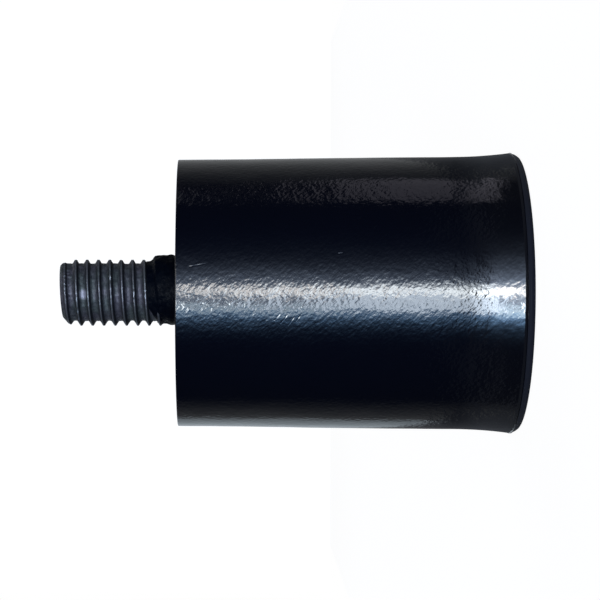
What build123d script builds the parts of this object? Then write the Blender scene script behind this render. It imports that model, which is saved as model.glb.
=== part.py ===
from build123d import *
from math import radians, tan
import os

# Bobbin vibration mount, 25 x 30 mm, M6. A rubber body is bonded between two steel end plates.
# One end carries a threaded stud, the other a tapped bush. All sizes are in millimetres. The axis
# is Z, the mount stands on its socket face at Z = 0, and the stud points up.

# Rubber body, as it leaves the mould
body_height = 30.0          # socket face to stud face
stud_face_diameter = 23.55
flare_diameter = 24.25      # at the foot of the straight, drafted wall
flare_height = 5.5          # below this the wall spreads towards the rim
rim_diameter = 25.0         # widest circle, at the mould's parting line
lip_height = 0.7            # from the socket face to the parting line
lip_inset = 0.3             # the lip draws in by this much below the parting line
face_edge_chamfer = 0.1     # outer edge of the stud face

# Rubber that creeps up the stud in the mould, thicker on one side
collar_height = 2.5
collar_root_diameter = 6.5  # at the stud face
collar_top_diameter = 6.32
collar_offset = 0.2
collar_root_round = 0.3
collar_edge_chamfer = 0.12

# Steel end plates
plate_diameter = 22.0
plate_thickness = 2.0
plate_edge_chamfer = 0.4
skin_thickness = 0.6        # rubber over the stud plate

# Stud, swaged into its plate
stud_reach = 10.4           # tip above the stud face
thread_diameter = 5.88      # over the crests of the M6 thread
core_diameter = 5.35        # pitch diameter, where rubber fills the turns
tip_chamfer = 0.7
shoulder_diameter = 7.0     # through the plate
head_diameter = 10.0
head_thickness = 1.6
head_edge_chamfer = 0.4

# Tapped bush, pressed into the socket plate from the rubber side
spigot_diameter = 8.0       # through the plate, flush with its face
bush_diameter = 11.0
bush_length = 8.0           # behind the plate
bush_chamfer = 0.8
bore_diameter = 5.0         # tapping size for M6
bore_depth = 7.0            # to the end of the full width
drill_point_angle = 118.0   # degrees
mouth_diameter = 6.2
mouth_depth = 0.6

# Levels that follow from those sizes
stud_plate_top = body_height - skin_thickness
stud_plate_base = stud_plate_top - plate_thickness
head_base = stud_plate_base - head_thickness
collar_top = body_height + collar_height
stud_tip = body_height + stud_reach


def circles_at(level, part):
    """The circular edges of a part at one level, smallest first."""
    circles = part.edges().filter_by(GeomType.CIRCLE)
    return circles.filter_by(lambda edge: abs(edge.center().Z - level) < 1e-4).sort_by(SortBy.RADIUS)


# Steel disc in the stud end, buried in the rubber
with BuildPart() as stud_plate:
    with BuildSketch(Plane.XY.offset(stud_plate_base)):
        Circle(plate_diameter / 2)
        Circle(shoulder_diameter / 2, mode=Mode.SUBTRACT)
    extrude(amount=plate_thickness)
    chamfer(circles_at(stud_plate_base, stud_plate)[-1], plate_edge_chamfer)
    chamfer(circles_at(stud_plate_top, stud_plate)[-1], plate_edge_chamfer)
stud_plate.part.label = "stud_plate"

# M6 stud: a flat head under the plate, a shoulder through it, then the shank
with BuildPart() as threaded_stud:
    with BuildSketch(Plane.XY.offset(head_base)):
        Circle(head_diameter / 2)
    extrude(amount=head_thickness)
    chamfer(circles_at(head_base, threaded_stud)[-1], head_edge_chamfer)
    with BuildSketch(Plane.XY.offset(stud_plate_base)):
        Circle(shoulder_diameter / 2)
    extrude(amount=plate_thickness)
    with BuildSketch(Plane.XY.offset(stud_plate_top)):
        Circle(core_diameter / 2)
    extrude(amount=skin_thickness + collar_height)
    with BuildSketch(Plane.XY.offset(collar_top)):
        Circle(thread_diameter / 2)
    extrude(amount=stud_reach - collar_height)
    chamfer(circles_at(stud_tip, threaded_stud)[-1], tip_chamfer)
threaded_stud.part.label = "threaded_stud"

# Steel disc that makes the socket face
with BuildPart() as socket_plate:
    with BuildSketch():
        Circle(plate_diameter / 2)
        Circle(spigot_diameter / 2, mode=Mode.SUBTRACT)
    extrude(amount=plate_thickness)
    chamfer(circles_at(plate_thickness, socket_plate)[-1], plate_edge_chamfer)
socket_plate.part.label = "socket_plate"

# The bush as turned: a spigot for the plate and a wider shank behind it
with BuildPart() as bush_blank:
    with BuildSketch():
        Circle(spigot_diameter / 2)
    extrude(amount=plate_thickness)
    with BuildSketch(Plane.XY.offset(plate_thickness)):
        Circle(bush_diameter / 2)
    extrude(amount=bush_length)
    chamfer(circles_at(plate_thickness + bush_length, bush_blank)[-1], bush_chamfer)

# The bush as drilled: a blind hole with a drill point and a countersunk mouth
with BuildPart() as threaded_bush:
    add(bush_blank.part)
    with BuildSketch(Plane.XZ):
        with BuildLine():
            bore_radius = bore_diameter / 2
            point_depth = bore_depth + bore_radius / tan(radians(drill_point_angle / 2))
            Polyline(
                (0, 0),
                (mouth_diameter / 2, 0),
                (bore_radius, mouth_depth),
                (bore_radius, bore_depth),
                (0, point_depth),
                close=True,
            )
        make_face()
    revolve(axis=Axis.Z, mode=Mode.SUBTRACT)
threaded_bush.part.label = "threaded_bush"

# Rubber body: one turn of the mould's profile, the collar on top, and the steel pieces left out
with BuildPart() as rubber_body:
    with BuildSketch(Plane.XZ):
        with BuildLine():
            wall_top = (stud_face_diameter / 2, body_height)
            wall_foot = (flare_diameter / 2, flare_height)
            parting_line = (rim_diameter / 2, lip_height)
            lip_foot = (rim_diameter / 2 - lip_inset, 0)
            wall = Line(wall_top, wall_foot)
            TangentArc(wall_foot, parting_line, tangent=wall % 1)
            Polyline(parting_line, lip_foot, (0, 0), (0, body_height), wall_top)
        make_face()
    revolve(axis=Axis.Z)
    chamfer(circles_at(body_height, rubber_body)[-1], face_edge_chamfer)
    with BuildSketch(Plane.XZ):
        with BuildLine():
            Polyline(
                (collar_offset, body_height),
                (collar_offset + collar_root_diameter / 2, body_height),
                (collar_offset + collar_top_diameter / 2, collar_top - collar_edge_chamfer),
                (collar_offset + collar_top_diameter / 2 - collar_edge_chamfer, collar_top),
                (collar_offset, collar_top),
                close=True,
            )
        make_face()
    revolve(axis=Axis((collar_offset, 0, 0), (0, 0, 1)))
    fillet(circles_at(body_height, rubber_body)[0], collar_root_round)
    add(stud_plate.part, mode=Mode.SUBTRACT)
    add(threaded_stud.part, mode=Mode.SUBTRACT)
    add(socket_plate.part, mode=Mode.SUBTRACT)
    add(bush_blank.part, mode=Mode.SUBTRACT)
rubber_body.part.label = "rubber_body"

os.makedirs("parts", exist_ok=True)
for piece in (rubber_body, stud_plate, threaded_stud, socket_plate, threaded_bush):
    export_step(piece.part, "parts/" + piece.part.label + ".step")
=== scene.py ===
import bpy
import math
from mathutils import Matrix, Vector, noise


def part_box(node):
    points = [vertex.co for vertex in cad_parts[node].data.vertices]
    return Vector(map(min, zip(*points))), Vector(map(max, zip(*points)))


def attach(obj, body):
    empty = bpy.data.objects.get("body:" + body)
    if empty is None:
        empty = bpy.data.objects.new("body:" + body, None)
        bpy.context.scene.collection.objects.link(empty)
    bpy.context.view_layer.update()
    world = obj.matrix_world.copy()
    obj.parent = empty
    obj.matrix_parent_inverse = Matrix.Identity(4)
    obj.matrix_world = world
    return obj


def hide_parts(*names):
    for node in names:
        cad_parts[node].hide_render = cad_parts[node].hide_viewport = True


# A bobbin vibration mount: black rubber bonded between two steel plates, an M6 stud on one end
# and a tapped bush in the other. It stands on its socket face, and the camera lies on its side.
# Sizes are in mm, unless a line says otherwise.

MM = 0.001
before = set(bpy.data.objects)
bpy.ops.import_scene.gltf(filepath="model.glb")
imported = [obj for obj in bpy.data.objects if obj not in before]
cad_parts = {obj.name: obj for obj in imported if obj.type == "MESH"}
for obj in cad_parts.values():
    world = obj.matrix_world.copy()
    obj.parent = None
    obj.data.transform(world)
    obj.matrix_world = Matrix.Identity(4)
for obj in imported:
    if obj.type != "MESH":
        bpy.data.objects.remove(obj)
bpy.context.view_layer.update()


# ---------------------------------------------------------------- sizes from the CAD
def box_mm(node):
    low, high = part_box(node)
    return low / MM, high / MM


stud_low, stud_high = box_mm("threaded_stud")
plate_low, plate_high = box_mm("stud_plate")
base_high = box_mm("socket_plate")[1]
bush_high = box_mm("threaded_bush")[1]

RIM = box_mm("rubber_body")[1].x    # widest circle
PLATE = plate_high.x                # radius of both plates
PLATE_UNDER, PLATE_TOP = plate_low.z, plate_high.z
HEAD, HEAD_UNDER = stud_high.x, stud_low.z
BUSH, BUSH_TOP = bush_high.x, bush_high.z
BASE_TOP = base_high.z              # top of the socket plate
TIP = stud_high.z                   # end of the stud

# ---------------------------------------------------------------- sizes of the details
SKIN = 0.6                          # rubber over the stud's plate
FACE = PLATE_TOP + SKIN             # stud face
WALL_TOP, WALL_FOOT = 11.775, 12.125    # radius at the stud face and where the flare starts
FLARE = 5.5                         # level where the flare starts
PARTING = 0.64                      # level of the mould's parting line
FLARE_END = (RIM - 0.04, PARTING + 0.08)
FACE_EDGE_ROUND = 0.10
LIP_FOOT = 12.2                     # radius where the lip meets the socket face
LIP_START, LIP_END = (LIP_FOOT - 0.01, 0.05), (RIM - 0.09, PARTING - 0.14)
STEEL_CHAMFER, BUSH_CHAMFER = 0.4, 0.8
CORE = 2.675                        # stud under the collar
SHOULDER = 3.5                      # stud in its plate
MAJOR, ROOT, PITCH = 2.93, 2.47, 1.0    # the stud's thread
THREAD_PHASE = 0.07                 # a crest passes +X at this part of each turn
CHATTER = 44                        # cutter marks round the tip
THREAD_START = FACE + 0.7           # the thread's lowest level, under the collar
SPIGOT, SPIGOT_EDGE = 4.0, 0.06     # bush in its plate
BORE, BORE_MAJOR, BORE_DEPTH, MOUTH = 2.5, 2.96, 7.0, 3.1
TAP_FULL, TAP_END = 6.2, 6.7        # levels where the socket's thread starts to fade and ends
TAP_PHASE = 0.3
DRILL_POINT = 118                   # degrees
COLLAR_EDGE = 32.75                 # mean level of the collar's thin edge
COLLAR_ROOT, COLLAR_SIDE = (3.15, FACE), (3.08, 32.0)
COLLAR_ROUND = 0.22                 # where the collar meets the stud face
THROAT = 2.45                       # radius inside the collar's thin edge

# from the lip over the mould flash and a shallow groove to the wall, as steps from rim and parting
PARTING_PROFILE = [
    (-0.05, -0.09, "flash"), (-0.03, -0.04, "flash"), (-0.03, 0.00, "flash"),
    (-0.07, 0.02, "lip"), (-0.10, 0.04, "lip"), (-0.06, 0.06, "lip"), (-0.04, 0.08, "wall"),
]
# up the collar to its thin edge: points and the rows that lead to each
COLLAR_PROFILE = [
    ((3.06, 31.35), 12), ((3.00, 31.76), 6), ((2.82, 31.96), 5), ((2.66, COLLAR_EDGE), 9),
]


# ---------------------------------------------------------------- mesh tools
def lathe(name, rows, columns, shape, sharp):
    """A closed turned solid. rows are (radius, level, tag) from axis to axis, and shape bends
    them. Edges bent by more than sharp degrees are shaded sharp."""
    verts, faces, rings = [], [], []
    for r, z, tag in rows:
        if r == 0.0:
            rings.append([len(verts)])
            verts.append(Vector((0.0, 0.0, z)) * MM)
            continue
        ring = []
        for k in range(columns):
            angle = 2 * math.pi * k / columns
            rr, zz = shape(r, z, angle, tag)
            ring.append(len(verts))
            verts.append(Vector((rr * math.cos(angle), rr * math.sin(angle), zz)) * MM)
        rings.append(ring)
    for low, high in zip(rings, rings[1:]):
        for k in range(columns):
            n = (k + 1) % columns
            if len(low) == 1:
                faces.append((low[0], high[n], high[k]))
            elif len(high) == 1:
                faces.append((low[k], low[n], high[0]))
            else:
                faces.append((low[k], low[n], high[n], high[k]))
    mesh = bpy.data.meshes.new(name)
    mesh.from_pydata(verts, [], faces)
    mesh.validate()
    mesh.polygons.foreach_set("use_smooth", [True] * len(mesh.polygons))
    mesh.set_sharp_from_angle(angle=math.radians(sharp))
    piece = bpy.data.objects.new(name, mesh)
    bpy.context.scene.collection.objects.link(piece)
    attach(piece, "root")
    return piece


def run(start, end, count, tag):
    """Points along a straight line in the profile, the first left out."""
    (r0, z0), (r1, z1) = start, end
    return [
        (r0 + (r1 - r0) * i / count, z0 + (z1 - z0) * i / count, tag)
        for i in range(1, count + 1)
    ]


def corner(before, at, after, radius, count, tag):
    """A rounded corner between two straight runs of the profile."""
    a, p, b = Vector(before), Vector(at), Vector(after)
    u, v = (a - p).normalized(), (b - p).normalized()
    reach = radius / math.tan(u.angle(v) / 2)
    start, end = p + u * reach, p + v * reach
    points = []
    for i in range(count + 1):
        t = i / count
        q = start * (1 - t) ** 2 + p * 2 * t * (1 - t) + end * t * t
        points.append((q.x, q.y, tag))
    return points


def lumps(x, y, z, scale, seed):
    """Smooth noise from -1 to 1 at a point."""
    return noise.noise(Vector((x / scale + seed, y / scale - seed, z / scale + 3 * seed)))


def smooth(low, high, value):
    """0 at low and 1 at high, with an easy start and end."""
    t = min(1.0, max(0.0, (value - low) / (high - low)))
    return t * t * (3 - 2 * t)


def from_crest(level, angle, phase):
    """Distance from the nearest crest of a right-handed thread, in turns: 0 to 0.5."""
    p = (level / PITCH - angle / (2 * math.pi) - phase) % 1.0
    return min(p, 1.0 - p)


def thread_depth(level, angle, phase, crest_half, root_half):
    """0 on a crest and 1 in a root of a thread with nearly straight flanks."""
    away = from_crest(level, angle, phase)
    flank = min(1.0, max(0.0, (away - crest_half) / (0.5 - root_half - crest_half)))
    return 0.65 * flank + 0.35 * smooth(crest_half, 0.5 - root_half, away)


# ---------------------------------------------------------------- rubber body
def collar_edge(angle):
    """Level where the rubber on the stud ends: higher on +X, and a little ragged."""
    ragged = lumps(3 * math.cos(angle), 3 * math.sin(angle), 0, 0.8, 4.1)
    low_side = smooth(0.5, 1.0, -math.cos(angle))
    return COLLAR_EDGE + 0.45 * math.cos(angle) - 0.45 * low_side + 0.10 * ragged


def rubber_shape(r, z, angle, tag):
    """Waves, flash and lumps of the rubber. The rows tagged base, lip and inner stay true."""
    x, y = r * math.cos(angle), r * math.sin(angle)
    if tag in ("wall", "edge"):
        waves, dimples = lumps(x, y, z, 7.0, 1.3), lumps(x, y, z, 1.8, 2.2)
        r += 0.035 * waves + 0.010 * dimples
    elif tag == "flash":
        proud = max(0.0, lumps(x, y, 0, 1.6, 5.7)) * 0.10
        r = min(RIM, r + proud + 0.05 * smooth(0.5, 1.0, -math.cos(angle)))
    elif tag == "face":
        z -= 0.03 + 0.03 * lumps(x, y, 0, 3.0, 6.2)
    elif tag == "collar":
        # it leans to +X, is lumpy, and on -X the thread shows through it
        share = (z - FACE) / (COLLAR_EDGE - FACE)
        z = FACE + share * (collar_edge(angle) - FACE)
        lean = 0.27 * smooth(-0.05, 0.2, share) * math.cos(angle)
        r += lean * (1 - 0.9 * smooth(0.62, 0.80, share))
        bumps = 0.07 * lumps(x, y, z, 0.9, 7.9) + 0.05 * lumps(x, y, z, 0.4, 8.3)
        ridge = 0.09 * (0.5 - thread_depth(z, angle, THREAD_PHASE, 0.07, 0.1))
        r += (bumps + ridge * smooth(0.4, -0.8, math.cos(angle))) * smooth(0.05, 0.3, share)
    elif tag == "throat":
        z += collar_edge(angle) - COLLAR_EDGE
    return r, z


def flare_points(count):
    """Arc from the wall's foot to the parting line, tangent to the drafted wall."""
    foot, rim = Vector((WALL_FOOT, FLARE)), Vector(FLARE_END)
    draft = Vector((WALL_FOOT - WALL_TOP, FLARE - FACE)).normalized()
    chord = rim - foot
    bend = math.atan2(draft.x, -draft.y)
    end = 2 * math.atan2(chord.x, -chord.y) - bend
    radius = chord.length / (2 * math.sin((end - bend) / 2))
    points = []
    for i in range(1, count + 1):
        a = bend + (end - bend) * i / count
        r = foot.x + radius * (math.cos(bend) - math.cos(a))
        z = foot.y - radius * (math.sin(a) - math.sin(bend))
        points.append((r, z, "wall"))
    return points


def lip_points(count):
    """The lip below the parting line, a low bead that turns in towards the socket face."""
    foot, top = Vector(LIP_START), Vector(LIP_END)
    points = []
    for i in range(1, count + 1):
        t = i / count
        bulge = math.sin(0.5 * math.pi * t)
        points.append((foot.x + (top.x - foot.x) * bulge, foot.y + (top.y - foot.y) * t, "lip"))
    return points


def rubber_rows():
    """The profile: over the bush and the socket plate, round the outside, up the collar, and
    down round the stud's plate and head."""
    rows = [(0.0, BUSH_TOP, "inner"), (BUSH - BUSH_CHAMFER, BUSH_TOP, "inner")]
    rows += [(BUSH, BUSH_TOP - BUSH_CHAMFER, "inner"), (BUSH, BASE_TOP, "inner")]
    rows += [(PLATE - STEEL_CHAMFER, BASE_TOP, "inner")]
    rows += [(PLATE, BASE_TOP - STEEL_CHAMFER, "inner"), (PLATE, 0.12, "inner")]
    # socket face, with a small round against the plate and another against the lip
    rows += [(PLATE + 0.03, 0.03, "base"), (PLATE + 0.12, 0.0, "base")]
    rows += run((PLATE + 0.12, 0.0), (LIP_FOOT - 0.16, 0.0), 3, "base")
    rows += [(LIP_FOOT - 0.07, 0.012, "lip"), (*LIP_START, "lip")]
    rows += lip_points(9)
    rows += [(RIM + dr, PARTING + dz, tag) for dr, dz, tag in PARTING_PROFILE]
    rows += reversed(flare_points(22)[:-1])
    # wall; a row close to its top edge keeps that edge's rounded shading off the wall
    foot, top = (WALL_FOOT, FLARE), (WALL_TOP, FACE)
    edge = corner(foot, top, (0, FACE), FACE_EDGE_ROUND, 4, "edge")
    near = Vector(edge[0][:2]).lerp(Vector(foot), 0.0015)
    rows += [(*foot, "wall")] + run(foot, near, 46, "wall") + edge
    # stud face and collar
    bend = corner((10, FACE), COLLAR_ROOT, COLLAR_SIDE, COLLAR_ROUND, 7, "collar")
    rows += run(edge[-1][:2], (bend[0][0] + 0.5, FACE), 16, "face") + bend
    start = bend[-1][:2]
    for point, count in COLLAR_PROFILE:
        rows += run(start, point, count, "collar")
        start = point
    rows += [(THROAT, COLLAR_EDGE - 0.02, "throat"), (THROAT, COLLAR_EDGE - 0.5, "throat")]
    rows += [(CORE, COLLAR_EDGE - 1.3, "throat"), (CORE, PLATE_TOP, "inner")]
    # round the buried steel
    rows += [(PLATE - STEEL_CHAMFER, PLATE_TOP, "inner")]
    rows += [(PLATE, PLATE_TOP - STEEL_CHAMFER, "inner")]
    rows += [(PLATE, PLATE_UNDER + STEEL_CHAMFER, "inner")]
    rows += [(PLATE - STEEL_CHAMFER, PLATE_UNDER, "inner"), (HEAD, PLATE_UNDER, "inner")]
    rows += [(HEAD, HEAD_UNDER + STEEL_CHAMFER, "inner")]
    rows += [(HEAD - STEEL_CHAMFER, HEAD_UNDER, "inner"), (0.0, HEAD_UNDER, "inner")]
    return rows


# ---------------------------------------------------------------- stud
def stud_depth(level, angle):
    """0 on a crest and 1 in a root of the rolled thread: narrow crests and round roots."""
    crest_half = 0.05 + 0.05 * smooth(0.2, 1.0, math.cos(angle))
    away = from_crest(level, angle, THREAD_PHASE)
    return math.sin(0.5 * math.pi * min(1.0, max(0.0, (away - crest_half) / 0.40)))


def crest_level(level, angle):
    """Level, at this angle, of the crest nearest to a level."""
    turn = angle / (2 * math.pi) + THREAD_PHASE
    return (round(level / PITCH - turn) + turn) * PITCH


def tip_level(angle):
    """The tip was cut a little out of square: lower on -X."""
    return TIP - 0.12 * (1 - math.cos(angle))


def thread_radius(z, angle):
    """Radius of the threaded shank, with its wear, dents and dirt."""
    x, y = MAJOR * math.cos(angle), MAJOR * math.sin(angle)
    depth = stud_depth(z, angle)
    # the first half turn is only partly formed
    lead = crest_level(z, angle if angle < 3.3 else angle - 2 * math.pi)
    formed = smooth(TIP - 0.33, TIP - 0.82, lead)
    depth = 1.0 - (1.0 - depth) * (0.45 + 0.55 * formed)
    dirt = 0.30 * smooth(0.3, 1.0, math.cos(angle)) + 0.22 * lumps(x, y, z, 0.5, 9.1)
    depth = min(depth, 1.0 - max(0.0, dirt) * 0.8)
    r = MAJOR - (MAJOR - ROOT) * depth
    # crests are dented all along, and knocked about near the tip
    rough = 0.5 + 0.5 * lumps(x, y, z, 0.35, 3.3)
    dents = max(0.0, lumps(x, y, z, 0.7, 10.4) - 0.35) * 0.30
    worn = smooth(TIP - 1.35, TIP - 0.8, z) * 0.16 * rough
    r -= (dents + worn) * (1 - depth)
    # chatter marks of the cutter that pointed the tip
    marks = smooth(TIP - 1.0, TIP - 0.85, z) * smooth(TIP - 0.35, TIP - 0.5, z) * depth
    r += 0.06 * marks * math.sin(CHATTER * angle) * (0.6 + lumps(x, y, z, 0.9, 6.6))
    # under the collar the turns are full of rubber
    under = smooth(collar_edge(angle) - 0.25, collar_edge(angle) - 0.9, z)
    r += (min(r, CORE) - r) * under
    r += (CORE - r) * smooth(FACE + 1.3, FACE + 0.8, z)
    # the pointed end
    foot = 2.46 + 0.11 * math.cos(angle)
    return min(r, foot + (tip_level(angle) - 0.12 - z) * 1.13, foot + 0.03 + 0.5 * (TIP - z))


def stud_shape(r, z, angle, tag):
    """The thread, and a tip cut a little out of square. The head stays true."""
    if tag == "thread":
        z = min(z, tip_level(angle))
        r = thread_radius(z, angle)
    elif tag == "tip":
        z = tip_level(angle) * r / ROOT + TIP * (1 - r / ROOT)
        x, y = r * math.cos(angle), r * math.sin(angle)
        z -= 0.02 + 0.03 * abs(lumps(x, y, 0, 0.7, 2.8))
    return r, z


def stud_rows():
    """The profile: the head, the shoulder, the shank and the tip."""
    rows = [(0.0, HEAD_UNDER, "head"), (HEAD - STEEL_CHAMFER, HEAD_UNDER, "head")]
    rows += [(HEAD, HEAD_UNDER + STEEL_CHAMFER, "head"), (HEAD, PLATE_UNDER, "head")]
    rows += [(SHOULDER, PLATE_UNDER, "head"), (SHOULDER, PLATE_TOP, "head")]
    rows += [(CORE, PLATE_TOP, "head"), (CORE, FACE + 0.6, "head")]
    length, step = TIP - THREAD_START, 0.032
    levels = int(length / step)
    rows += [(MAJOR, THREAD_START + length * i / levels, "thread") for i in range(levels + 1)]
    rows += [(2.1, TIP, "tip"), (1.6, TIP, "tip"), (1.0, TIP, "tip"), (0.45, TIP, "tip")]
    rows += [(0.0, TIP - 0.04, "tip")]
    return rows


# ---------------------------------------------------------------- bush
def bush_shape(r, z, angle, tag):
    """The socket's thread, with its countersunk mouth. The tap ran out near the bottom."""
    if tag == "thread":
        depth = thread_depth(z, angle, TAP_PHASE, 0.10, 0.07)
        r = BORE + (BORE_MAJOR - BORE) * depth * smooth(TAP_END, TAP_FULL, z)
        r = max(r, MOUTH - z)
    return r, z


def bush_rows():
    """The profile: from the drill point down the bore, over the socket face, up the outside."""
    point = BORE_DEPTH + BORE / math.tan(math.radians(DRILL_POINT / 2))
    rows = [(0.0, point, "bore"), (BORE, BORE_DEPTH, "bore")]
    step, top = 0.04, BORE_DEPTH - 0.15
    rows += [(BORE, max(0.0, top - i * step), "thread") for i in range(int(top / step) + 1)]
    rows += [(MOUTH, 0.0, "face")]
    rows += [(SPIGOT - SPIGOT_EDGE, 0.0, "face"), (SPIGOT, SPIGOT_EDGE, "face")]
    rows += [(SPIGOT, BASE_TOP, "out"), (BUSH, BASE_TOP, "out")]
    rows += [(BUSH, BUSH_TOP - BUSH_CHAMFER, "out"), (BUSH - BUSH_CHAMFER, BUSH_TOP, "out")]
    rows += [(0.0, BUSH_TOP, "out")]
    return rows


# ---------------------------------------------------------------- materials
class Shader:
    """A material's nodes, built one call at a time. Places and distances are in mm."""

    def __init__(self, name):
        self.material = bpy.data.materials.new(name)
        self.start(self.material)
        coordinates = self.add("ShaderNodeTexCoord", out="Object")
        self.place = self.add("ShaderNodeVectorMath", {0: coordinates, "Scale": 1 / MM},
                              operation="SCALE")

    def start(self, home):
        home.use_nodes = True
        self.nodes, self.links = home.node_tree.nodes, home.node_tree.links
        self.nodes.clear()

    def feed(self, socket, value):
        if isinstance(value, bpy.types.NodeSocket):
            self.links.new(value, socket)
        elif socket.type == "RGBA":
            socket.default_value = (*value, 1.0)
        else:
            socket.default_value = value

    def add(self, kind, inputs=None, out=0, **settings):
        node = self.nodes.new(kind)
        for key, value in settings.items():
            setattr(node, key, value)
        for key, value in (inputs or {}).items():
            self.feed(node.inputs[key], value)
        return None if out is None else node.outputs[out]

    def math(self, operation, a, b=0.0):
        return self.add("ShaderNodeMath", {0: a, 1: b}, operation=operation)

    def plus(self, a, b):
        return self.math("ADD", a, b)

    def minus(self, a, b):
        return self.math("SUBTRACT", a, b)

    def times(self, a, b):
        return self.math("MULTIPLY", a, b)

    def larger(self, a, b):
        return self.math("MAXIMUM", a, b)

    def noise(self, scale, detail=2.0, roughness=0.5, place=None):
        return self.add("ShaderNodeTexNoise", {"Vector": place or self.place, "Scale": scale,
                                               "Detail": detail, "Roughness": roughness})

    def spread(self, value, low, high, to_low=0.0, to_high=1.0):
        return self.add("ShaderNodeMapRange", {"Value": value, "From Min": low, "From Max": high,
                                               "To Min": to_low, "To Max": to_high})

    def stretch(self, scale, turned):
        return self.add("ShaderNodeMapping", {"Vector": self.place, "Scale": scale,
                                              "Rotation": (0.0, 0.0, turned)})

    def slanted(self, tilt, length):
        """Coordinates that stretch a texture along a line tilted from +X towards -Z."""
        return self.add("ShaderNodeMapping", {"Vector": self.place, "Rotation": (0.0, tilt, 0.0),
                                              "Scale": (length, 1.0, 1.0)},
                        vector_type="TEXTURE")

    def mix(self, share, a, b):
        node = self.nodes.new("ShaderNodeMix")
        node.data_type = "RGBA"
        for name, kind, value in (("Factor", "VALUE", share), ("A", "RGBA", a), ("B", "RGBA", b)):
            self.feed(next(s for s in node.inputs if (s.name, s.type) == (name, kind)), value)
        return next(s for s in node.outputs if s.type == "RGBA")

    def bump(self, height, metres):
        return self.add("ShaderNodeBump", {"Height": height, "Distance": metres})

    def axes(self):
        node = self.nodes.new("ShaderNodeSeparateXYZ")
        self.links.new(self.place, node.inputs[0])
        return node.outputs["X"], node.outputs["Y"], node.outputs["Z"]

    def helix(self):
        """Where a point lies between two crests of the stud's thread, from 0 to 1."""
        x, y, z = self.axes()
        turns = self.math("DIVIDE", self.math("ARCTAN2", y, x), 2 * math.pi)
        level = self.minus(self.math("DIVIDE", z, PITCH), turns)
        return self.math("FRACT", self.minus(level, THREAD_PHASE))

    def window(self, value, low, high, soft):
        """1 between two values, and 0 outside them."""
        return self.times(self.spread(value, low - soft, low),
                          self.spread(value, high + soft, high))

    def away_from(self, point):
        """Distance from a point."""
        return self.add("ShaderNodeVectorMath", {0: self.place, 1: point}, out="Value",
                        operation="DISTANCE")

    def mark(self, start, end, half_width):
        """1 along a short scratch between two points on the surface."""
        a, b = Vector(start), Vector(end)
        along = b - a
        offset = self.add("ShaderNodeVectorMath", {0: self.place, 1: a}, operation="SUBTRACT")
        dot = self.add("ShaderNodeVectorMath", {0: offset, 1: along / along.length_squared},
                       out="Value", operation="DOT_PRODUCT")
        nearest = self.add("ShaderNodeVectorMath", {0: along, "Scale": self.spread(dot, 0.0, 1.0)},
                           operation="SCALE")
        gap = self.add("ShaderNodeVectorMath", {0: offset, 1: nearest}, out="Value",
                       operation="DISTANCE")
        return self.spread(gap, half_width, 0.0)

    def from_axis(self):
        """Distance from the mount's axis."""
        flat = self.add("ShaderNodeVectorMath", {0: self.place, 1: (1.0, 1.0, 0.0)},
                        operation="MULTIPLY")
        return self.add("ShaderNodeVectorMath", {0: flat}, out="Value", operation="LENGTH")

    def end(self, surface):
        self.add("ShaderNodeOutputMaterial", {"Surface": surface}, out=None)
        return self.material

    def surface(self, **inputs):
        named = {key.replace("_", " "): value for key, value in inputs.items()}
        return self.end(self.add("ShaderNodeBsdfPrincipled", named))


# scratches on the wall: start and end as (x, z), with a depth; they lie on the -Y side
SCRATCHES = [
    ((2.17, 28.8), (2.40, 27.5), 1.5),
    ((-1.75, 21.3), (-2.25, 21.7), 0.7),
    ((-1.85, 20.7), (-2.50, 21.2), 0.9),
    ((-2.00, 20.1), (-2.70, 20.6), 0.8),
    ((-1.70, 19.5), (-2.30, 19.9), 0.7),
    ((3.28, 16.4), (3.32, 16.1), 2.2),
    ((6.10, 15.0), (6.35, 14.4), 1.6),
    ((5.45, 13.35), (5.60, 13.15), 1.9),
]
SCRATCH_HALF_WIDTH = 0.08
PAINTED_HIGHLIGHT_SPOT = (-0.15, -2.50, 38.15)   # where a highlight is painted on the stud's steel


def on_wall(x, z):
    """The point of the wall at this x and z, on the -Y side."""
    radius = WALL_TOP + (WALL_FOOT - WALL_TOP) * (FACE - z) / (FACE - FLARE)
    return x, -math.sqrt(radius * radius - x * x), z


def rubber_material():
    """Moulded rubber: fine grain with slanted strokes, glossier and less grained on the flare."""
    s = Shader("black_rubber")
    z = s.axes()[2]
    grain = s.noise(scale=3.4, detail=1.5)
    strokes = s.noise(scale=3.9, detail=1.0, place=s.slanted(math.radians(45), length=2.4))
    height = s.times(s.plus(grain, strokes), 0.62)
    height = s.times(height, s.spread(z, 3.0, 8.0, 0.60, 1.0))
    # the mould itself is not quite even
    height = s.plus(height, s.times(s.noise(scale=1.1, detail=1.0), 0.6))
    height = s.plus(height, s.noise(scale=0.35, detail=1.0))
    for start, end, depth in SCRATCHES:
        cut = s.mark(on_wall(*start), on_wall(*end), SCRATCH_HALF_WIDTH)
        height = s.minus(height, s.times(cut, 0.36 * depth))
    normal = s.bump(height, metres=0.000020)
    cloud = s.noise(scale=0.35, detail=3.0, roughness=0.6)
    colour = s.mix(cloud, (0.0007, 0.0014, 0.0048), (0.0012, 0.0019, 0.0054))
    lip = s.spread(z, PARTING + 0.04, PARTING - 0.04)   # more matt, with a painted blue reflection in its colour
    # painted reflection: the lip's colour is a lighter blue that stands in for the rim's
    # reflection
    colour = s.mix(lip, colour, (0.0100, 0.0130, 0.0260))
    gloss = s.spread(s.noise(scale=2.6, detail=3.0, roughness=0.7), 0.35, 0.65, 0.08, 0.15)
    gloss = s.plus(gloss, s.times(lip, 0.30))
    polish = s.spread(z, 5.8, 3.2, 0.0, 0.9)
    return s.surface(Base_Color=colour, Roughness=gloss, Normal=normal, IOR=1.5,
                     Coat_Weight=polish, Coat_Roughness=0.12, Coat_IOR=1.7, Coat_Normal=normal)


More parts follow.
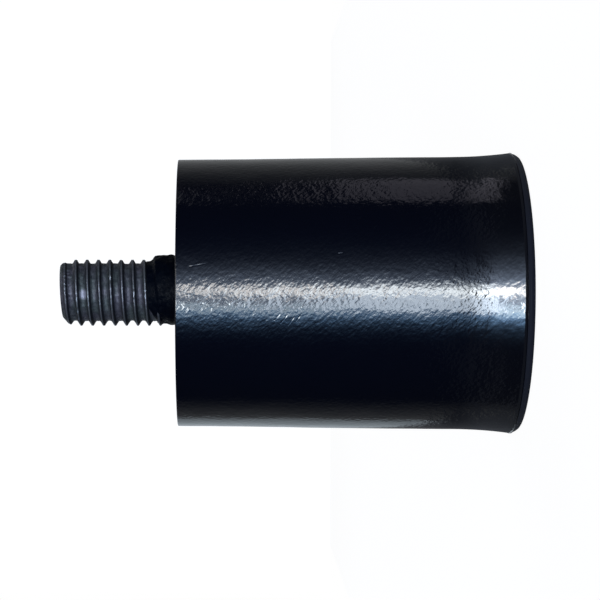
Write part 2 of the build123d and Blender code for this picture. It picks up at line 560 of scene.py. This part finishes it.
def collar_material():
    """Rubber that crept up the stud: torn, and more matt than the moulded wall."""
    s = Shader("torn_rubber")
    torn = s.noise(scale=2.2, detail=4.0, roughness=0.7)
    cloud = s.noise(scale=0.9, detail=3.0, roughness=0.6)
    colour = s.mix(cloud, (0.0004, 0.0012, 0.0038), (0.0010, 0.0022, 0.0054))
    gloss = s.spread(torn, 0.40, 0.60, 0.24, 0.66)
    return s.surface(Base_Color=colour, Roughness=gloss, IOR=1.11,
                     Normal=s.bump(torn, metres=0.00009))


def stud_material():
    """Dark soiled steel, cool and violet in patches, with crests rubbed lighter, painted shade
    along the flanks beside each crest, and one painted highlight.
    """
    s = Shader("dark_stud_steel")
    turn = s.helix()
    side = s.spread(s.from_axis(), 2.35, 2.44)
    crest = s.larger(s.spread(turn, 0.085, 0.05), s.spread(turn, 0.915, 0.95))
    # painted shade lies along both flanks beside each crest, more on the side that faces the body
    painted_flank_shade = s.larger(s.window(turn, 0.79, 0.91, soft=0.04),
                     s.times(s.window(turn, 0.10, 0.17, soft=0.04), 0.75))
    patch = s.spread(s.noise(scale=2.6, detail=4.0, roughness=0.65), 0.36, 0.66)
    tint = s.spread(s.noise(scale=0.55), 0.40, 0.60)
    cool = s.mix(patch, (0.026, 0.034, 0.041), (0.085, 0.104, 0.112))
    violet = s.mix(patch, (0.030, 0.031, 0.046), (0.096, 0.096, 0.126))
    # painted highlight: one spot of the steel's colour is painted bright
    painted_highlight = s.spread(s.away_from(PAINTED_HIGHLIGHT_SPOT), 0.55, 0.25)
    steel = s.mix(painted_highlight, s.mix(tint, cool, violet), (0.26, 0.27, 0.34))
    wear = s.spread(s.noise(scale=1.7, detail=3.0, roughness=0.6), 0.36, 0.60, 0.08, 0.62)
    rubbed = s.times(s.times(crest, side), wear)
    colour = s.mix(rubbed, steel, (0.24, 0.26, 0.30))
    # painted shade: the colour is darkened along the flanks beside each crest
    colour = s.mix(s.times(s.times(painted_flank_shade, side), 0.92), colour, (0.005, 0.007, 0.013))
    gloss = s.minus(s.spread(patch, 0.0, 1.0, 0.62, 0.48), s.times(rubbed, 0.27))
    return s.surface(Base_Color=colour, Metallic=s.spread(rubbed, 0.0, 1.0, 0.45, 1.0),
                     Roughness=gloss,
                     Normal=s.bump(s.noise(scale=8.0, detail=3.0, roughness=0.65), 0.00003))


def plate_material():
    """Dull zinc plate, cloudy and finely scratched."""
    s = Shader("zinc_plate")
    cloud = s.noise(scale=0.6, detail=4.0, roughness=0.6)
    speck = s.noise(scale=7.0, detail=3.0, roughness=0.6)
    scratch = s.noise(scale=1.0, detail=3.0, roughness=0.6,
                      place=s.stretch((9.0, 0.5, 1.0), turned=0.6))
    colour = s.mix(cloud, (0.42, 0.43, 0.43), (0.60, 0.60, 0.58))
    gloss = s.spread(cloud, 0.3, 0.7, 0.30, 0.46)
    height = s.plus(scratch, s.times(speck, 0.5))
    return s.surface(Base_Color=colour, Metallic=1.0, Roughness=gloss,
                     Normal=s.bump(height, metres=0.00001))


def bush_material():
    """Turned steel, with the rings that the tool left."""
    s = Shader("turned_bush_steel")
    rings = s.add("ShaderNodeTexNoise", {"W": s.times(s.from_axis(), 8.0), "Scale": 1.0,
                                         "Detail": 3.0}, noise_dimensions="1D")
    speck = s.noise(scale=5.0, detail=3.0, roughness=0.6)
    colour = s.mix(speck, (0.34, 0.345, 0.35), (0.52, 0.52, 0.51))
    gloss = s.spread(speck, 0.3, 0.7, 0.26, 0.42)
    return s.surface(Base_Color=colour, Metallic=1.0, Roughness=gloss,
                     Normal=s.bump(rings, metres=0.00001))


def dress(piece, *materials):
    piece.data.materials.clear()
    for material in materials:
        piece.data.materials.append(material)


# ---------------------------------------------------------------- pieces
RUBBER, COLLAR = 0, 1               # places in the rubber's list of materials

rubber = lathe("rubber_skin", rubber_rows(), columns=400, shape=rubber_shape, sharp=62)
dress(rubber, rubber_material(), collar_material())
for face in rubber.data.polygons:
    face.material_index = COLLAR if face.center.z > (FACE + 0.02) * MM else RUBBER
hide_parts("rubber_body")

stud = lathe("stud_thread", stud_rows(), columns=264, shape=stud_shape, sharp=50)
dress(stud, stud_material())
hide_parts("threaded_stud")

bush = lathe("bush_thread", bush_rows(), columns=120, shape=bush_shape, sharp=50)
dress(bush, bush_material())
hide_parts("threaded_bush")

zinc = plate_material()
for node in ("stud_plate", "socket_plate"):
    dress(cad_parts[node], zinc)


# ---------------------------------------------------------------- camera, in metres
def look(eye, aim, up, roll=0.0):
    """World matrix of a camera or lamp at eye that looks at aim, with up towards its top."""
    forward = (aim - eye).normalized()
    right = forward.cross(up).normalized()
    top = right.cross(forward)
    turn = Matrix((right, top, -forward)).transposed()
    return Matrix.Translation(eye) @ (turn @ Matrix.Rotation(roll, 3, "Z")).to_4x4()


EYE, AIM = Vector((0.0, -0.175, 0.0255)), Vector((-0.00063, 0.0, 0.0192))
LENS = 118.1                        # focal length in mm
ROLL = 0.001                        # radians

camera = bpy.data.cameras.new("camera")
camera.lens = LENS
camera.clip_start, camera.clip_end = 0.01, 10.0
camera_object = bpy.data.objects.new("camera", camera)
camera_object.matrix_world = look(EYE, AIM, up=Vector((1, 0, 0)), roll=ROLL)
bpy.context.scene.collection.objects.link(camera_object)
bpy.context.scene.camera = camera_object

# ---------------------------------------------------------------- lights
LAMPS_AWAY = 1.5                    # metres
LIT_POINT = Vector((0, 0, 0.015))   # middle of the body, in metres
# name, azimuth, elevation, width and height in degrees, radiance, colour
LAMPS = [
    # the window, seen high: the rim alone shows it
    ("high_middle", 0.0, 8.3, 6.5, 7.4, 5.0, (0.74, 0.90, 1.0)),
    ("high_side", -11.5, 9.2, 8.5, 6.0, 32.0, (0.86, 0.95, 1.0)),
    # level with the mount: warm at its middle and blue at its side
    ("level_middle", 1.5, 1.9, 7.0, 4.8, 13.0, (1.0, 0.93, 0.85)),
    ("level_side", -13.8, 2.25, 8.5, 5.5, 4.0, (0.66, 0.88, 1.0)),
    # and low
    ("low_wide", -3.8, -5.25, 22.5, 9.5, 6.0, (0.90, 0.97, 1.0)),
    ("low_middle", 0.8, -5.25, 5.5, 9.5, 14.5, (0.92, 0.98, 1.0)),
    ("low_side", -8.8, -5.25, 12.5, 9.5, 5.8, (0.62, 0.78, 1.0)),
    # soft light round the mount
    ("front_fill", 0.0, 23.0, 39.3, 10.9, 8.0, (1.0, 1.0, 1.0)),
    ("side_low", 96.0, -7.0, 27.0, 10.0, 0.48, (0.88, 0.85, 1.0)),
    ("side_high", 93.0, 8.0, 20.0, 7.0, 0.35, (0.86, 0.85, 1.0)),
    ("edge_minus", -152.0, 4.0, 32.0, 27.0, 0.45, (0.72, 0.88, 1.0)),
    ("top_soft", 20.0, 82.0, 37.0, 37.0, 0.9, (1.0, 1.0, 1.0)),
    ("back_soft", 150.0, 48.0, 31.0, 25.0, 1.3, (0.96, 0.98, 1.0)),
]


def softbox(name, azimuth, elevation, width, height, radiance, colour):
    """An area lamp far from the mount, placed and sized in degrees as the mount sees it.
    Azimuth 0 is the camera's side and 90 is towards +X."""
    lamp = bpy.data.lights.new(name, "AREA")
    lamp.shape = "RECTANGLE"
    width, height = (2 * LAMPS_AWAY * math.tan(math.radians(d / 2)) for d in (width, height))
    lamp.size, lamp.size_y = width, height
    lamp.color = colour
    lamp.energy = radiance * math.pi * width * height
    a, e = math.radians(azimuth), math.radians(elevation)
    away = Vector((math.sin(a) * math.cos(e), -math.cos(a) * math.cos(e), math.sin(e)))
    # a lamp overhead has its top towards the back
    up = Vector((0, 0, 1)) if elevation < 80 else Vector((0, 1, 0))
    holder = bpy.data.objects.new(name, lamp)
    holder.matrix_world = look(LIT_POINT + away * LAMPS_AWAY, LIT_POINT, up)
    holder.visible_camera = False
    bpy.context.scene.collection.objects.link(holder)


for lamp_row in LAMPS:
    softbox(*lamp_row)


# ---------------------------------------------------------------- world
class Room(Shader):
    """The same helper, on the world's nodes. Its place is the direction looked in."""

    def __init__(self):
        world = bpy.data.worlds.new("world")
        bpy.context.scene.world = world
        self.start(world)
        self.place = self.add("ShaderNodeTexCoord", out="Generated")

    def end(self, surface):
        self.add("ShaderNodeOutputWorld", {"Surface": surface}, out=None)


WINDOW_RIGHT, WINDOW_LEFT = 8.0, -18.5  # the window's two sides, as azimuths in degrees
FADE_RIGHT, FADE_LEFT = 8.0, 4.2    # degrees in which the glow beside it falls to 37 percent
GLOW = 5.0                          # its strength at the window
GLOW_ENDS, GLOW_FULL = 0.34, 0.21   # how far up and down it reaches, as sines of the elevation


def light_room():
    """A dim room, lighter behind the mount. A glow round the window fades away on both sides.
    The camera itself sees white."""
    room = Room()
    x, y, z = room.axes()
    azimuth = room.math("DEGREES", room.math("ARCTAN2", x, room.times(y, -1.0)))
    right = room.math("DIVIDE", room.minus(azimuth, WINDOW_RIGHT), FADE_RIGHT)
    left = room.math("DIVIDE", room.minus(WINDOW_LEFT, azimuth), FADE_LEFT)
    beyond = room.larger(room.larger(left, right), 0.0)
    glow = room.math("EXPONENT", room.times(beyond, -1.0))
    height = room.math("ABSOLUTE", z)
    glow = room.times(glow, room.spread(height, GLOW_ENDS, GLOW_FULL, 0.0, GLOW))
    tint = room.mix(room.spread(azimuth, -20.0, -14.0), (0.30, 0.58, 1.0), (0.35, 0.44, 0.60))
    lit = room.add("ShaderNodeBackground", {"Color": tint, "Strength": glow})
    dim = room.add("ShaderNodeBackground", {"Color": (0.93, 0.97, 1.0),
                                            "Strength": room.spread(y, 0.2, 0.95, 0.015, 0.30)})
    both = room.add("ShaderNodeAddShader", {0: lit, 1: dim})
    white = room.add("ShaderNodeBackground", {"Color": (1.0, 1.0, 1.0), "Strength": 1.0})
    camera_ray = room.add("ShaderNodeLightPath", out="Is Camera Ray")
    room.end(room.add("ShaderNodeMixShader", {0: camera_ray, 1: both, 2: white}))


light_room()

# ---------------------------------------------------------------- floor and backdrop, in metres
FLOOR_FRONT, FLOOR_BACK, FLOOR_SIDE = -0.060, 0.320, 0.065
FLOOR_OPENING = 12.0 * MM           # under the mount, so that the socket face shows from below
FLOOR_CORNERS = 96
BACKDROP_SIDE, BACKDROP_TOP = 0.075, 0.12
SEEN_WHITE = 0.95                   # what the camera sees, besides the paper's own light


def pale_material(name, near, far, glow_near, glow_far):
    """Pale paper, lifted to white for camera rays. Mirrored, it shows a dim glow that changes
    with the distance behind the mount: the glow at near and at far, both in mm."""
    s = Shader(name)
    paper = s.add("ShaderNodeBsdfDiffuse", {"Color": (0.11, 0.12, 0.14)})
    rays = s.nodes.new("ShaderNodeLightPath").outputs
    mirrored = s.larger(rays["Is Glossy Ray"], rays["Is Transmission Ray"])
    behind = s.axes()[1]
    strength = s.plus(s.times(rays["Is Camera Ray"], SEEN_WHITE),
                      s.times(mirrored, s.spread(behind, near, far, glow_near, glow_far)))
    glow = s.add("ShaderNodeEmission", {"Color": (1.0, 1.0, 1.0), "Strength": strength})
    lit = s.add("ShaderNodeAddShader", {0: paper, 1: glow})
    # from below, the paper is clear
    below = s.add("ShaderNodeNewGeometry", out="Backfacing")
    clear = s.add("ShaderNodeBsdfTransparent")
    return s.end(s.add("ShaderNodeMixShader", {0: below, 1: lit, 2: clear}))


def stage_mesh(name, verts, faces, material):
    """A piece of the stage, which isn't part of the object."""
    mesh = bpy.data.meshes.new(name)
    mesh.from_pydata(verts, [], faces)
    piece = bpy.data.objects.new(name, mesh)
    bpy.context.scene.collection.objects.link(piece)
    piece.data.materials.append(material)


def floor_mesh():
    """A rectangle with a round opening under the mount."""
    inner, outer, faces = [], [], []
    for k in range(FLOOR_CORNERS):
        a = 2 * math.pi * k / FLOOR_CORNERS
        c, s = math.cos(a), math.sin(a)
        inner.append((FLOOR_OPENING * c, FLOOR_OPENING * s, 0.0))
        to_side = FLOOR_SIDE / max(abs(c), 1e-9)
        to_end = (FLOOR_BACK if s > 0 else -FLOOR_FRONT) / max(abs(s), 1e-9)
        reach = min(to_side, to_end)
        outer.append((reach * c, reach * s, 0.0))
        n = (k + 1) % FLOOR_CORNERS
        faces.append((k, k + FLOOR_CORNERS, n + FLOOR_CORNERS, n))
    return inner + outer, faces


stage_mesh("floor", *floor_mesh(), pale_material("floor_paper", 30.0, 220.0, 0.01, 0.20))
stage_mesh(
    "backdrop",
    [(-BACKDROP_SIDE, FLOOR_BACK, 0.0), (BACKDROP_SIDE, FLOOR_BACK, 0.0),
     (BACKDROP_SIDE, FLOOR_BACK, BACKDROP_TOP), (-BACKDROP_SIDE, FLOOR_BACK, BACKDROP_TOP)],
    [(0, 1, 2, 3)],
    pale_material("backdrop_paper", 0.0, 1.0, 0.3, 0.3),
)

bpy.context.scene.view_settings.view_transform = "Standard"
